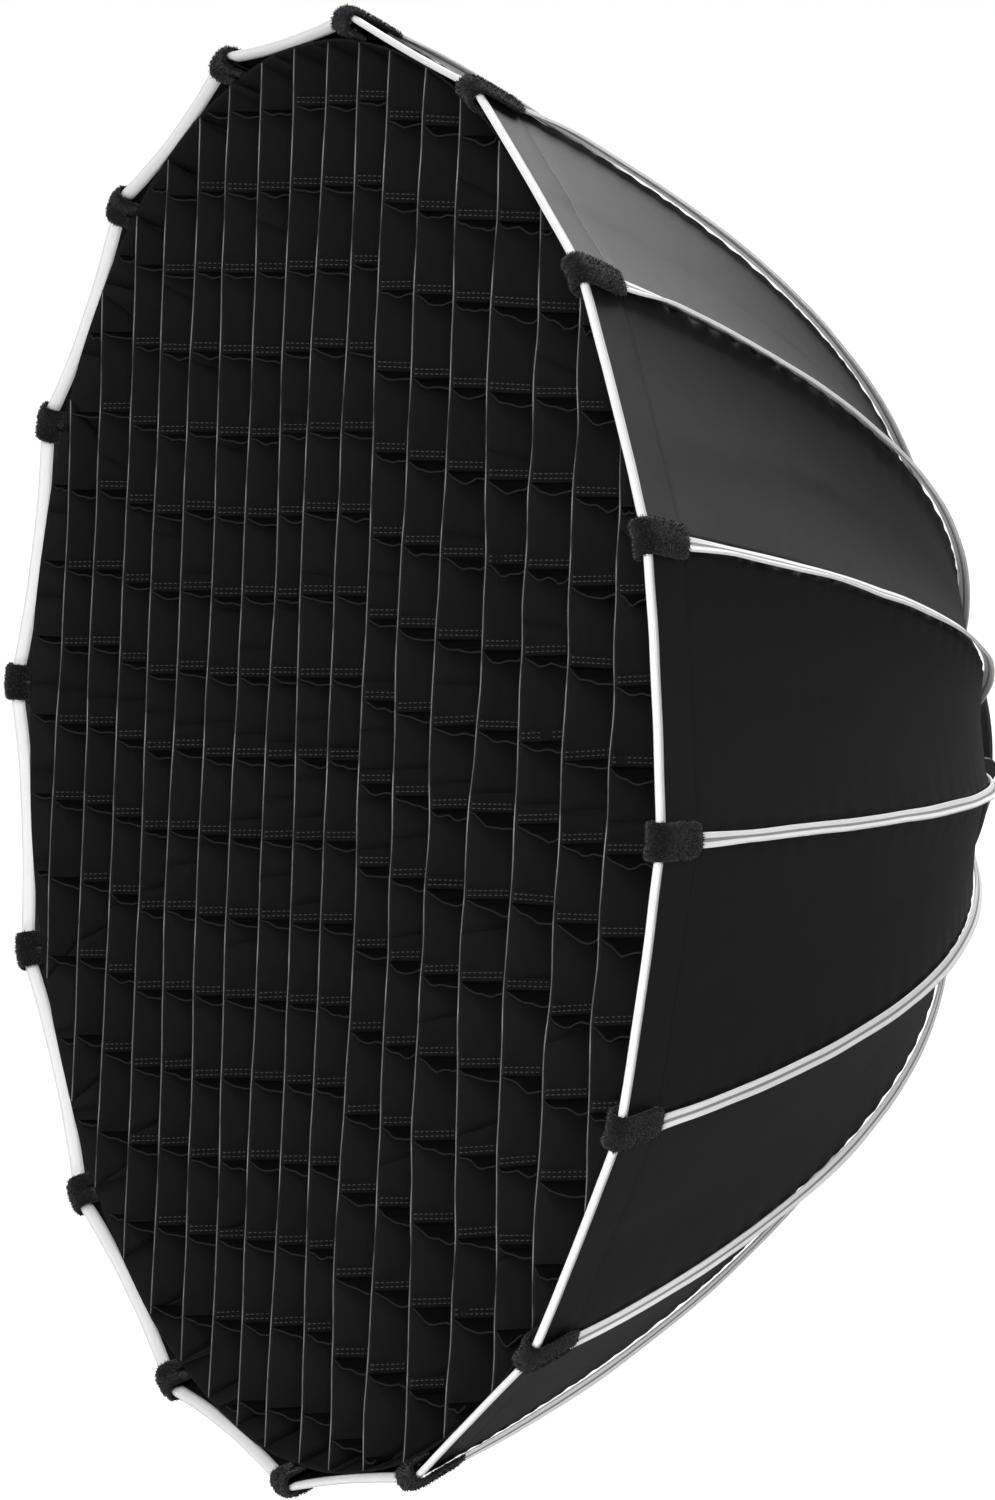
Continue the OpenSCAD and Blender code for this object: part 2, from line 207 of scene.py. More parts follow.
def area_light(name, place, aim, size, watts):
    data = bpy.data.lights.new(name, "AREA")
    data.shape, data.size, data.size_y, data.energy = "RECTANGLE", size[0], size[1], watts
    light = bpy.data.objects.new(name, data)
    light.location = place
    light.rotation_mode = "QUATERNION"
    light.rotation_quaternion = (Vector(aim) - Vector(place)).to_track_quat("-Z", "Y")
    bpy.context.scene.collection.objects.link(light)


def white_world(strength_seen, strength_cast):
    world = bpy.data.worlds.new("surround")
    world.use_nodes = True
    nodes, links = world.node_tree.nodes, world.node_tree.links
    shade = nodes["Background"]
    shade.inputs["Color"].default_value = (1, 1, 1, 1)
    path = nodes.new("ShaderNodeLightPath")
    mix = nodes.new("ShaderNodeMapRange")
    mix.inputs["To Min"].default_value = strength_cast
    mix.inputs["To Max"].default_value = strength_seen
    links.new(path.outputs["Is Camera Ray"], mix.inputs["Value"])
    links.new(mix.outputs["Result"], shade.inputs["Strength"])
    bpy.context.scene.world = world


area_light("light_above", (-1.1, 1.4, 2.6), (0, -0.2, 0), (2.0, 1.4), 138)
area_light("light_side", (3.2, -2.4, 0.8), (0, -0.3, 0), (1.6, 2.2), 112)
area_light("light_front", (0.5, -4.6, 0.8), (0, -0.3, 0), (1.8, 1.8), 55)
area_light("light_low", (1.1, -0.7, -1.2), (0.15, -0.25, -0.3), (1.2, 0.8), 11)
white_world(1.0, 0.24)
bpy.context.scene.view_settings.view_transform = "Standard"

# %% [markdown]
# ## Materials
#
# Every colour is given as it would be read off a screen and turned into linear light by one
# function. Patterns use the sheets' own UVs, which are in metres, so a weave has its true pitch.

# %% Node helpers
def lin(code):
    parts = [int(code[i:i + 2], 16) / 255 for i in (1, 3, 5)]
    return tuple(c / 12.92 if c <= 0.04045 else ((c + 0.055) / 1.055) ** 2.4
                 for c in parts) + (1.0,)


def add(tree, kind, inputs=(), **settings):
    """Adds a node; inputs are (name or number, value or output socket)."""
    node = tree.nodes.new(kind)
    for key, value in settings.items():
        setattr(node, key, value)
    for key, value in inputs:
        if isinstance(value, bpy.types.NodeSocket):
            tree.links.new(value, node.inputs[key])
        else:
            node.inputs[key].default_value = value
    return node


def material(name, colour, rough, metal=0.0, specular=0.5, sheen=0.0):
    mat = bpy.data.materials.new(name)
    mat.use_nodes = True
    shade = mat.node_tree.nodes["Principled BSDF"]
    shade.inputs["Base Color"].default_value = lin(colour)
    shade.inputs["Roughness"].default_value = rough
    shade.inputs["Metallic"].default_value = metal
    shade.inputs["Specular IOR Level"].default_value = specular
    shade.inputs["Sheen Weight"].default_value = sheen
    return mat, mat.node_tree, shade


def bump(tree, shade, height, depth):
    """Feeds a height of 0 to 1 into the surface; depth is in metres."""
    node = add(tree, "ShaderNodeBump", [("Height", height), ("Distance", depth)])
    tree.links.new(node.outputs["Normal"], shade.inputs["Normal"])


def uv(tree):
    return add(tree, "ShaderNodeUVMap", uv_map="metres").outputs["UV"]


def math_node(tree, operation, a, b=0.5):
    return add(tree, "ShaderNodeMath", [(0, a), (1, b)], operation=operation).outputs[0]


def weave(tree, where, pitch):
    """A plain weave: two crossed waves, one thread every pitch metres."""
    scale = 2 * math.pi / pitch / 20
    waves = [add(tree, "ShaderNodeTexWave", [("Vector", where), ("Scale", scale)],
                 bands_direction=axis).outputs["Fac"] for axis in "XY"]
    return math_node(tree, "MULTIPLY", waves[0], waves[1])


def mix_colour(tree, fac, a, b):
    node = add(tree, "ShaderNodeMix", [("Factor", fac)], data_type="RGBA")
    node.inputs["A"].default_value, node.inputs["B"].default_value = lin(a), lin(b)
    return node.outputs["Result"]


def line_at(tree, value, middle, half):
    """1 within half of middle, 0 outside, with a soft edge."""
    apart = math_node(tree, "ABSOLUTE", math_node(tree, "SUBTRACT", value, middle))
    node = add(tree, "ShaderNodeMapRange",
               [("Value", apart), ("From Min", half), ("From Max", half * 0.6)])
    return node.outputs["Result"]


print("helpers ready")

# %% [markdown]
# ### Cloth
#
# The shell is a tight coated nylon: nearly smooth, black outside, silver inside. The grid is a
# softer matte polyester. The bindings are white woven tape, with painted shade down the middle
# where the two folded layers meet.

# %% Cloth materials
LIP = 0.036  # the turned lip's seam, from the rim
TAPE_W = 0.0076  # the folded seam tape
RIM_TAPE_W = 0.007  # the rim tape, each side of its fold


def shell_nylon():
    """Coated black nylon, with the faint line of the lip's seam."""
    mat, tree, shade = material("shell_nylon", "#131314", 0.5, specular=0.2)
    where = uv(tree)
    v = add(tree, "ShaderNodeSeparateXYZ", [("Vector", where)]).outputs["Y"]
    seam = line_at(tree, v, LIP, 0.0016)
    tree.links.new(mix_colour(tree, seam, "#131314", "#101010"), shade.inputs["Base Color"])
    cloud = add(tree, "ShaderNodeTexNoise",
                [("Vector", where), ("Scale", 28.0), ("Detail", 3.0)]).outputs["Fac"]
    # The real threads are about 0.2 mm apart, and are drawn coarser so that they show.
    threads = weave(tree, where, 0.0006)
    height = math_node(tree, "ADD", math_node(tree, "MULTIPLY", cloud, 0.8),
                       math_node(tree, "MULTIPLY", threads, 0.12))
    height = math_node(tree, "SUBTRACT", height, math_node(tree, "MULTIPLY", seam, 0.5))
    bump(tree, shade, height, 0.0006)
    return mat


def silver_lining():
    """Aluminised film on the inside of the shell, slightly crinkled."""
    mat, tree, shade = material("silver_lining", "#c9cacc", 0.38, metal=0.9)
    crinkle = add(tree, "ShaderNodeTexNoise",
                  [("Vector", uv(tree)), ("Scale", 160.0), ("Detail", 4.0)]).outputs["Fac"]
    bump(tree, shade, crinkle, 0.0005)
    return mat


def binding_tape(name, edge, middle, width, line):
    """Woven white polyester binding; u runs across it, and a band of painted shade runs down the
    middle.
    """
    mat, tree, shade = material(name, edge, 0.85, specular=0.2, sheen=0.2)
    where = uv(tree)
    u = add(tree, "ShaderNodeSeparateXYZ", [("Vector", where)]).outputs["X"]
    # painted shade: the middle of the tape is mixed towards the darker colour
    fac = line_at(tree, u, width / 2, line / 2)
    tree.links.new(mix_colour(tree, fac, edge, middle), shade.inputs["Base Color"])
    bump(tree, shade, weave(tree, where, 0.0009), 0.00015)
    return mat


def grid_fabric(name, colour):
    """Matte black polyester, soft and a little crumpled."""
    mat, tree, shade = material(name, colour, 0.9, specular=0.08)
    where = uv(tree)
    crumple = add(tree, "ShaderNodeTexNoise",
                  [("Vector", where), ("Scale", 45.0), ("Detail", 3.0)]).outputs["Fac"]
    # Threads drawn at twice their real spacing, so that they show.
    height = math_node(tree, "ADD", crumple,
                       math_node(tree, "MULTIPLY", weave(tree, where, 0.0005), 0.08))
    bump(tree, shade, height, 0.0022)
    return mat


def selvedge():
    """The woven edge of a strip, worn paler in places."""
    mat, tree, shade = material("grid_selvedge", "#5c5c5c", 0.8, specular=0.2)
    worn = add(tree, "ShaderNodeTexNoise",
               [("Vector", uv(tree)), ("Scale", 26.0), ("Detail", 4.0)]).outputs["Fac"]
    worn = add(tree, "ShaderNodeMapRange",
               [("Value", worn), ("From Min", 0.35), ("From Max", 0.65)]).outputs["Result"]
    tree.links.new(mix_colour(tree, worn, "#303030", "#868686"), shade.inputs["Base Color"])
    return mat


def diffuser_cloth():
    """White ripstop: a thin translucent weave with a square of thicker thread every 5 mm."""
    mat, tree, shade = material("diffuser_cloth", "#f2f2f0", 0.8, specular=0.2)
    where = uv(tree)
    squares = weave(tree, where, 0.005)
    bump(tree, shade, squares, 0.00012)
    shade.inputs["Subsurface Weight"].default_value = 0.15
    shade.inputs["Subsurface Radius"].default_value = (0.01, 0.01, 0.01)
    return mat


def loop_pile():
    """The black loop half of touch fastener."""
    mat, tree, shade = material("loop_pile", "#0d0d0d", 0.95, specular=0.08, sheen=0.15)
    where = add(tree, "ShaderNodeTexCoord").outputs["Object"]
    tuft = add(tree, "ShaderNodeTexNoise",
               [("Vector", where), ("Scale", 900.0), ("Detail", 2.0)]).outputs["Fac"]
    tree.links.new(mix_colour(tree, tuft, "#060606", "#161616"), shade.inputs["Base Color"])
    bump(tree, shade, tuft, 0.0008)
    return mat


SHELL = shell_nylon()
LINING = silver_lining()
# The grey middles of both tapes are painted shade between their raised edges.
SEAM_TAPE = binding_tape("seam_tape", "#f2f2f2", "#8c8c8c", TAPE_W, 0.0024)
RIM_TAPE = binding_tape("rim_tape", "#f0f0f0", "#a4a4a4", RIM_TAPE_W, 0.0010)
GRID = grid_fabric("grid_fabric", "#1b1b1c")
GRID_CROSS_SHADE = grid_fabric("grid_fabric_cross", "#070707")  # painted shade: the cross strips' upper faces lie in shade, so they are coloured darker than the long strips
GRID_EDGE = selvedge()
# The cross strips' edges lie turned away from the light and hardly show.
GRID_EDGE_DIM = material("grid_selvedge_dim", "#1b1b1b", 0.8, specular=0.2)[0]
# Spun polyester thread, a little paler and glossier than the cloth: fine dashes.
THREAD = material("grid_thread", "#4e4e4e", 0.7, specular=0.3)[0]
DIFFUSER = diffuser_cloth()
# Knitted elastic, flat and dull.
ELASTIC = material("black_elastic", "#161616", 0.85, specular=0.2)[0]
PILE = loop_pile()
print("cloth materials:", len(bpy.data.materials))

# %% [markdown]
# ### Metal and plastic
#
# The hub pieces keep their CAD shapes and get better finishes: turned aluminium with a fine
# circular grain, cast aluminium with a blasted skin, glass-filled nylon and plated steel.

# %% Hard materials on the CAD pieces
def metal(name, colour, rough, grain, depth=0.0001):
    """Bare metal whose roughness and surface vary at the grain's scale."""
    mat, tree, shade = material(name, colour, rough, metal=1.0)
    where = add(tree, "ShaderNodeTexCoord").outputs["Object"]
    speck = add(tree, "ShaderNodeTexNoise",
                [("Vector", where), ("Scale", grain), ("Detail", 3.0)]).outputs["Fac"]
    spread = add(tree, "ShaderNodeMapRange", [("Value", speck), ("To Min", rough - 0.08),
                                              ("To Max", rough + 0.1)]).outputs["Result"]
    tree.links.new(spread, shade.inputs["Roughness"])
    bump(tree, shade, speck, depth)
    return mat


def turned(name, colour, rough):
    """Lathe-turned aluminium: fine rings about the Y axis."""
    mat, tree, shade = material(name, colour, rough, metal=1.0)
    where = add(tree, "ShaderNodeTexCoord").outputs["Object"]
    rings = add(tree, "ShaderNodeTexWave", [("Vector", where), ("Scale", 900.0)],
                wave_type="RINGS", rings_direction="Y").outputs["Fac"]
    bump(tree, shade, rings, 0.00003)
    return mat


def moulded(name, colour, rough):
    """Moulded plastic with a fine spark-eroded grain."""
    mat, tree, shade = material(name, colour, rough)
    where = add(tree, "ShaderNodeTexCoord").outputs["Object"]
    grain = add(tree, "ShaderNodeTexNoise",
                [("Vector", where), ("Scale", 1800.0), ("Detail", 1.0)]).outputs["Fac"]
    bump(tree, shade, grain, 0.00006)
    return mat


FINISH = {
    "bayonet_ring": turned("bayonet_aluminium", "#d4d5d6", 0.3),
    "hub_base": metal("cast_aluminium", "#9b9da0", 0.5, 1500.0),
    "rear_housing": moulded("black_polymer", "#1a1a1b", 0.5),
    "release_ring": metal("zinc_steel", "#b9bdc2", 0.35, 700.0),
    "springs": metal("spring_steel", "#8f9296", 0.3, 400.0),
    "release_button_left": moulded("grey_polymer", "#2e2f31", 0.4),
    "hinge_pins": metal("pin_steel", "#c4c6c8", 0.25, 900.0),
    "screws": metal("black_screw_steel", "#2b2b2d", 0.4, 900.0),
}
FINISH["release_button_right"] = FINISH["release_button_left"]
ROD_STEEL = metal("rod_steel", "#1d1e20", 0.4, 600.0)
SOCKET_ZINC = metal("socket_zinc", "#a4a6a9", 0.42, 1200.0)
for k in range(1, RIBS + 1):
    FINISH[f"rib_{k:02d}"], FINISH[f"socket_{k:02d}"] = ROD_STEEL, SOCKET_ZINC
for name, finish in FINISH.items():
    for place in NODES[name].material_slots:
        place.material = finish
print("CAD nodes with a finish:", len(FINISH))

# %% [markdown]
# ## Making sheets
#
# A sheet is a table of points, one row after another. It is thickened here, not by a modifier,
# so that its two faces can have different cloth and its edges are closed.

# %% Mesh helpers
def make(name, verts, faces, uvs, mats, slots):
    """A mesh object; uvs has one (u, v) in metres for each vertex, mats one slot per face."""
    mesh = bpy.data.meshes.new(name)
    mesh.from_pydata([tuple(v) for v in verts], [], faces)
    layer = mesh.uv_layers.new(name="metres")
    flat = [0.0] * (2 * len(mesh.loops))
    for i, loop in enumerate(mesh.loops):
        flat[2 * i], flat[2 * i + 1] = uvs[loop.vertex_index]
    layer.data.foreach_set("uv", flat)
    for mat in slots:
        mesh.materials.append(mat)
    mesh.polygons.foreach_set("material_index", mats)
    mesh.polygons.foreach_set("use_smooth", [True] * len(mesh.polygons))
    mesh.update()
    obj = bpy.data.objects.new(name, mesh)
    bpy.context.scene.collection.objects.link(obj)
    return obj


def shell_of(front, back, uvs):
    """Faces of a closed skin between two tables of points of the same shape.

    Returns vertices, faces, uvs and a slot for each face: 0 front, 1 back, 2 edges.
    """
    rows, cols = len(front), len(front[0])
    verts = [p for row in front for p in row] + [p for row in back for p in row]
    both = [c for row in uvs for c in row] * 2
    base, faces, mats = rows * cols, [], []
    for i in range(rows - 1):
        for j in range(cols - 1):
            a = i * cols + j
            faces.append((a, a + 1, a + cols + 1, a + cols))
            faces.append((base + a, base + a + cols, base + a + cols + 1, base + a + 1))
            mats += [0, 1]
    rim = list(range(cols)) + [i * cols + cols - 1 for i in range(1, rows)]
    rim += [(rows - 1) * cols + j for j in range(cols - 2, -1, -1)]
    rim += [i * cols for i in range(rows - 2, 0, -1)]
    for a, b in zip(rim, rim[1:] + rim[:1]):
        faces.append((b, a, base + a, base + b))
        mats.append(2)
    return verts, faces, both, mats


def outward(faces, verts, towards):
    """Turns all faces over if the first one looks away from the given direction."""
    a, b, c = (Vector(verts[i]) for i in faces[0][:3])
    if (b - a).cross(c - a).dot(towards) < 0:
        return [tuple(reversed(f)) for f in faces]
    return faces


def area_of(obj):
    """Half of a closed thin sheet's surface."""
    return sum(p.area for p in obj.data.polygons) / 2


print("mesh helpers ready")

# %% [markdown]
# ## Gores
#
# Each gore is one cut of coated nylon, sewn to its neighbours along the ribs. The stitched seam
# pulls the cloth into small puckers, the turned lip leaves a line near the rim, and the free edge
# bows back between two rod tips. A gore hangs on its rib's arm and gathers as the ribs fold.

# %% Gores
ROWS_R, SHELL_LENGTH = arc_radii(GORE_R0, RIM_R, 0.006)
ACROSS = 22
RIM_BOW = 0.0016  # how far the rim's radius drops in the middle of a gore
CLOTH_T = 0.0008
SEAM_GAP = 0.0002  # half the gap between neighbouring gores


def rim_radius(r, t):
    """The radius drawn in near the rim, where the free edge bows."""
    return r - RIM_BOW * 4 * t * (1 - t) * ease((r - 0.36) / 0.09)


def ripple(k, s, t, gap):
    """Height of the cloth's small waves, s from the rim along the shell."""
    side = min(t, 1 - t) * gap
    near_seam = math.exp(-side / 0.011)
    seed = 7.3 * k + (3.1 if t > 0.5 else 0)
    phase = 5 * wobble(s * 9, seed)
    pucker = 0.00055 * near_seam * math.sin(2 * math.pi * s / 0.021 + phase)
    drawn = 0.0011 * wobble(s * 6, t * 2.2, seed) * min(1, side / 0.02)
    lip = -0.0005 * math.exp(-((s - LIP) / 0.004) ** 2)
    return (pucker * ease(s / 0.05) + drawn + lip) * ease(s / 0.02)


def gore(k):
    front, back, uvs = [], [], []
    for i, r in enumerate(ROWS_R):
        s = SHELL_LENGTH * (1 - i / (len(ROWS_R) - 1))
        gap = 2 * r * math.sin(STEP / 2)
        edge = SEAM_GAP / gap
        rows = [[], [], []]
        for j in range(ACROSS + 1):
            t = edge + (1 - 2 * edge) * j / ACROSS
            off = ripple(k, s, t, gap)
            rr = rim_radius(r, t)
            rows[0].append(on_gore(k, rr, t, off))
            rows[1].append(on_gore(k, rr, t, off - CLOTH_T))
            rows[2].append(((t - 0.5) * gap, s))
        for table, row in zip((front, back, uvs), rows):
            table.append(row)
    verts, faces, both, mats = shell_of(front, back, uvs)
    faces = outward(faces, verts, rib_out(k) + Vector((0, 0.4, 0)))
    # Inside, the turned lip is black like the outside, and the rest is silver.
    inside = [1 if m == 1 and both[f[0]][1] > LIP + 0.02 else 0 for f, m in zip(faces, mats)]
    obj = make(f"gore_shell_{k:02d}", verts, faces, both, inside, [SHELL, LINING])
    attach(obj, f"arm_{k:02d}")
    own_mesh(obj)
    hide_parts(f"gore_{k:02d}")
    return obj


gores = [gore(k) for k in range(1, RIBS + 1)]
print("gores:", len(gores), "faces each:", len(gores[0].data.polygons),
      "area:", round(area_of(gores[0]), 4))

# %% [markdown]
# ## Bindings
#
# A white tape is folded over the raw seam on every rib and stands up from it like a fin, leaning
# to one side. Another is folded round the rim's free edge. Both are swept from a small outline.

# %% Swept strips
def sweep(name, sections, widths, mat):
    """A closed skin over outlines of equal length; widths are u along the outline."""
    count = len(sections[0])
    verts, uvs, faces = [], [], []
    run = 0.0
    for i, outline in enumerate(sections):
        if i:
            run += (Vector(outline[0]) - Vector(sections[i - 1][0])).length
        verts += outline
        uvs += [(u, run) for u in widths]
    for i in range(len(sections) - 1):
        for j in range(count):
            a, b = i * count + j, i * count + (j + 1) % count
            faces.append((a, b, b + count, a + count))
    half = count // 2
    last = (len(sections) - 1) * count
    for j in range(half - 1):
        quad = (j, count - 1 - j, count - 2 - j, j + 1)
        faces.append(quad)
        faces.append(tuple(last + v for v in reversed(quad)))
    obj = make(name, verts, faces, uvs, [0] * len(faces), [mat])
    flip_if_inside_out(obj)
    return obj


def flip_if_inside_out(obj):
    """Turns the faces over if the mesh encloses a negative volume."""
    mesh, volume = obj.data, 0.0
    for p in mesh.polygons:
        a = mesh.vertices[p.vertices[0]].co
        for i in range(1, len(p.vertices) - 1):
            b, c = (mesh.vertices[p.vertices[n]].co for n in (i, i + 1))
            volume += a.dot(b.cross(c))
    if volume < 0:
        mesh.flip_normals()


# %% Seam tapes
PAD_LENGTH = 0.034  # of the loop pad, along the seam from the rim
TAPE_ROWS, _ = arc_radii(GORE_R0 + 0.006, radius_at((PAD_LENGTH - 0.003) * 0.92), 0.005)


def tape_outline(k, r, lean, width, base):
    """The folded tape's outline: fat rolled edges with a thin middle."""
    shape = [(0, -0.4), (0.25, -0.75), (0.6, -0.8), (1.6, -0.5), (-1.6, -0.5), (-0.6, -0.9),
             (-0.2, -0.8), (0, -0.3), (0, 0.5), (-0.2, 1.0), (-0.7, 1.1), (-1.6, 0.45),
             (1.6, 0.45), (0.7, 1.05), (0.25, 0.95), (0, 0.5)]
    points, us = [], []
    for i, (along, up) in enumerate(shape):
        far = 4 <= i < 12
        w = width + along * 0.001 if far else along * 0.001
        h = up * 0.001
        side = base + w * math.cos(lean) - h * math.sin(lean)
        off = 0.0016 + w * math.sin(lean) + h * math.cos(lean)
        points.append(on_rib(k, r, off, side))
        us.append(w / width * TAPE_W)
    return points, us


def seam_tape(k):
    sections, count = [], len(TAPE_ROWS)
    for i, r in enumerate(TAPE_ROWS):
        s = i / (count - 1) * 0.5
        start = ease((0.5 - s) / 0.05)  # wide and nearly flat where it comes from the pad
        lean = math.radians(14 + 24 * start + 10 * wobble(s * 14, k * 5.1))
        width = TAPE_W * (1.25 - 0.25 * start) * (1 + 0.07 * wobble(s * 30, k * 2.7))
        base = -0.0038 + 0.0012 * start + 0.0005 * wobble(s * 25, k * 9.7)
        points, us = tape_outline(k, r, lean, width, base)
        sections.append(points)
    obj = sweep(f"seam_tape_{k:02d}", sections, us, SEAM_TAPE)
    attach(obj, f"arm_{k:02d}")
    return obj


tapes = [seam_tape(k) for k in range(1, RIBS + 1)]
print("seam tapes:", len(tapes), "faces each:", len(tapes[0].data.polygons))

# %% Rim tapes
RIM_LEG_OUT, RIM_LEG_IN = 0.0038, 0.0066
RIM_T = 0.0007


def rim_outline(k, t, slack):
    """The tape round the rim's edge: down the outside, round the front, up the inside."""
    path = [(RIM_LEG_OUT, 0.0006), (RIM_LEG_OUT * 0.55, 0.0010), (0.0012, 0.0011),
            (-0.0009, 0.0006), (-0.0012, -0.0004), (-0.0007, -0.0014), (0.0012, -0.0019),
            (RIM_LEG_IN * 0.5, -0.0018), (RIM_LEG_IN, -0.0014)]
    inner = []
    for i, (s, n) in enumerate(path):
        a, b = path[max(i - 1, 0)], path[min(i + 1, len(path) - 1)]
        ds, dn = b[0] - a[0], b[1] - a[1]
        size = math.hypot(ds, dn)
        inner.append((s + RIM_T * dn / size, n - RIM_T * ds / size))
    points, us = [], []
    slope = slope_at(RIM_R)
    for i, (s, n) in enumerate(path + inner[::-1]):
        r = rim_radius(RIM_R, t) - (s + slack) * math.cos(slope)
        points.append(on_gore(k, r, t, n))
        us.append(RIM_TAPE_W * (i if i < len(path) else 2 * len(path) - 1 - i) / 3)
    return points, us


def rim_tape(k):
    margin = 0.006 / RIM_CHORD
    sections = []
    for i in range(41):
        t = margin + (1 - 2 * margin) * i / 40
        slack = 0.0005 * wobble(t * 5, k * 4.3)
        points, us = rim_outline(k, t, slack)
        sections.append(points)
    obj = sweep(f"rim_tape_{k:02d}", sections, us, RIM_TAPE)
    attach(obj, f"arm_{k:02d}")
    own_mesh(obj)
    return obj


rims = [rim_tape(k) for k in range(1, RIBS + 1)]
print("rim tapes:", len(rims))

# %% [markdown]
# ## Repeated small things
#
# Stitches and the loops of the pile are set out by Geometry Nodes: a mesh of points carries the
# direction of each stitch, and one small block is put on every point. The result is turned into
# a plain mesh at once.

# %% Geometry Nodes
def tree_input(tree, name, kind, default=None):
    socket = tree.interface.new_socket(name, in_out="INPUT", socket_type=kind)
    if default is not None:
        socket.default_value = default
    return socket


def stitch_tree():
    """Puts a block of Length x Width x Height on every point, along its 'along' attribute."""
    tree = bpy.data.node_groups.new("stitches", "GeometryNodeTree")
    tree_input(tree, "Geometry", "NodeSocketGeometry")
    ids = {"Length": tree_input(tree, "Length", "NodeSocketFloat", 0.003).identifier,
           "Width": tree_input(tree, "Width", "NodeSocketFloat", 0.0005).identifier,
           "Height": tree_input(tree, "Height", "NodeSocketFloat", 0.0004).identifier,
           "Material": tree_input(tree, "Material", "NodeSocketMaterial").identifier}
    tree.interface.new_socket("Geometry", in_out="OUTPUT", socket_type="NodeSocketGeometry")
    given = add(tree, "NodeGroupInput").outputs
    size = add(tree, "ShaderNodeCombineXYZ", [("X", given["Length"]), ("Y", given["Width"]),
                                              ("Z", given["Height"])]).outputs[0]
    block = add(tree, "GeometryNodeMeshCube", [("Size", size)]).outputs["Mesh"]
    along = add(tree, "GeometryNodeInputNamedAttribute", [("Name", "along")],
                data_type="FLOAT_VECTOR").outputs["Attribute"]
    out = add(tree, "GeometryNodeInputNamedAttribute", [("Name", "out")],
              data_type="FLOAT_VECTOR").outputs["Attribute"]
    turn = add(tree, "FunctionNodeAlignRotationToVector", [("Vector", along)],
               axis="X").outputs[0]
    turn = add(tree, "FunctionNodeAlignRotationToVector", [("Rotation", turn), ("Vector", out)],
               axis="Z", pivot_axis="X").outputs[0]
    points = add(tree, "GeometryNodeMeshToPoints", [("Mesh", given["Geometry"])]).outputs[0]
    placed = add(tree, "GeometryNodeInstanceOnPoints", [
        ("Points", points), ("Instance", block), ("Rotation", turn)]).outputs[0]
    real = add(tree, "GeometryNodeRealizeInstances", [("Geometry", placed)]).outputs[0]
    done = add(tree, "GeometryNodeSetMaterial", [
        ("Geometry", real), ("Material", given["Material"])]).outputs[0]
    add(tree, "NodeGroupOutput", [("Geometry", done)])
    return tree, ids


def pile_tree():
    """Sows short tilted loops of pile over the faces of a pad."""
    tree = bpy.data.node_groups.new("pile", "GeometryNodeTree")
    tree_input(tree, "Geometry", "NodeSocketGeometry")
    ids = {"Density": tree_input(tree, "Density", "NodeSocketFloat", 6e5).identifier,
           "Seed": tree_input(tree, "Seed", "NodeSocketInt", 1).identifier,
           "Material": tree_input(tree, "Material", "NodeSocketMaterial").identifier}
    tree.interface.new_socket("Geometry", in_out="OUTPUT", socket_type="NodeSocketGeometry")
    given = add(tree, "NodeGroupInput").outputs
    sown = add(tree, "GeometryNodeDistributePointsOnFaces", [
        ("Mesh", given["Geometry"]), ("Density", given["Density"]), ("Seed", given["Seed"])])
    loop = add(tree, "GeometryNodeMeshCone", [
        ("Vertices", 3), ("Radius Top", 0.00008), ("Radius Bottom", 0.00026),
        ("Depth", 0.0015)], fill_type="NONE").outputs["Mesh"]
    tilt = add(tree, "FunctionNodeRandomValue", [
        (0, (-0.9, -0.9, -3.1)), (1, (0.9, 0.9, 3.1)), ("Seed", given["Seed"])],
        data_type="FLOAT_VECTOR").outputs[0]
    turn = add(tree, "FunctionNodeRotateRotation", [
        ("Rotation", sown.outputs["Rotation"]), ("Rotate By", tilt)],
        rotation_space="LOCAL").outputs[0]
    placed = add(tree, "GeometryNodeInstanceOnPoints", [
        ("Points", sown.outputs["Points"]), ("Instance", loop), ("Rotation", turn)]).outputs[0]
    real = add(tree, "GeometryNodeRealizeInstances", [("Geometry", placed)]).outputs[0]
    skin = add(tree, "GeometryNodeSetMaterial", [
        ("Geometry", real), ("Material", given["Material"])]).outputs[0]
    both = add(tree, "GeometryNodeJoinGeometry", [("Geometry", skin)])
    tree.links.new(given["Geometry"], both.inputs["Geometry"])
    add(tree, "NodeGroupOutput", [("Geometry", both.outputs[0])])
    return tree, ids


def apply_tree(obj, tree, ids, **values):
    """Runs a tree on an object and keeps the result as its plain mesh."""
    mod = obj.modifiers.new("repeat", "NODES")
    mod.node_group = tree
    for key, value in values.items():
        mod[ids[key]] = value
    graph = bpy.context.evaluated_depsgraph_get()
    graph.update()
    mesh = bpy.data.meshes.new_from_object(obj.evaluated_get(graph), depsgraph=graph)
    obj.modifiers.clear()
    obj.data = mesh
    return obj


def stitches(name, marks, mat, length, width, height):
    """marks are (place, along, out) for each stitch."""
    mesh = bpy.data.meshes.new(name)
    mesh.from_pydata([tuple(m[0]) for m in marks], [], [])
    for column, key in ((1, "along"), (2, "out")):
        data = mesh.attributes.new(key, "FLOAT_VECTOR", "POINT").data
        data.foreach_set("vector", [c for m in marks for c in m[column]])
    obj = bpy.data.objects.new(name, mesh)
    bpy.context.scene.collection.objects.link(obj)
    return apply_tree(obj, *STITCH, Length=length, Width=width, Height=height, Material=mat)


STITCH = stitch_tree()
PILE_LOOPS = pile_tree()
print("trees:", [t.name for t in bpy.data.node_groups])

# %% [markdown]
# ## Loop pads
#
# At each rod's tip a strip of loop fastener is folded over the rim. On the real one it hides the
# pocket of the rod's cap, and the grid's hook tabs press onto it.

# %% Loop pads
PAD_W, PAD_T = 0.0225, 0.0022
PAD_PATH = [(0.012, -0.0086), (0.004, -0.0092), (-0.0014, -0.0078), (-0.0034, -0.0044),
            (-0.0036, -0.0004), (-0.0022, 0.0030), (0.002, 0.0044), (0.008, 0.0045),
            (0.014, 0.0042), (0.020, 0.0040), (0.026, 0.0038), (0.031, 0.0037), (0.0345, 0.0034)]


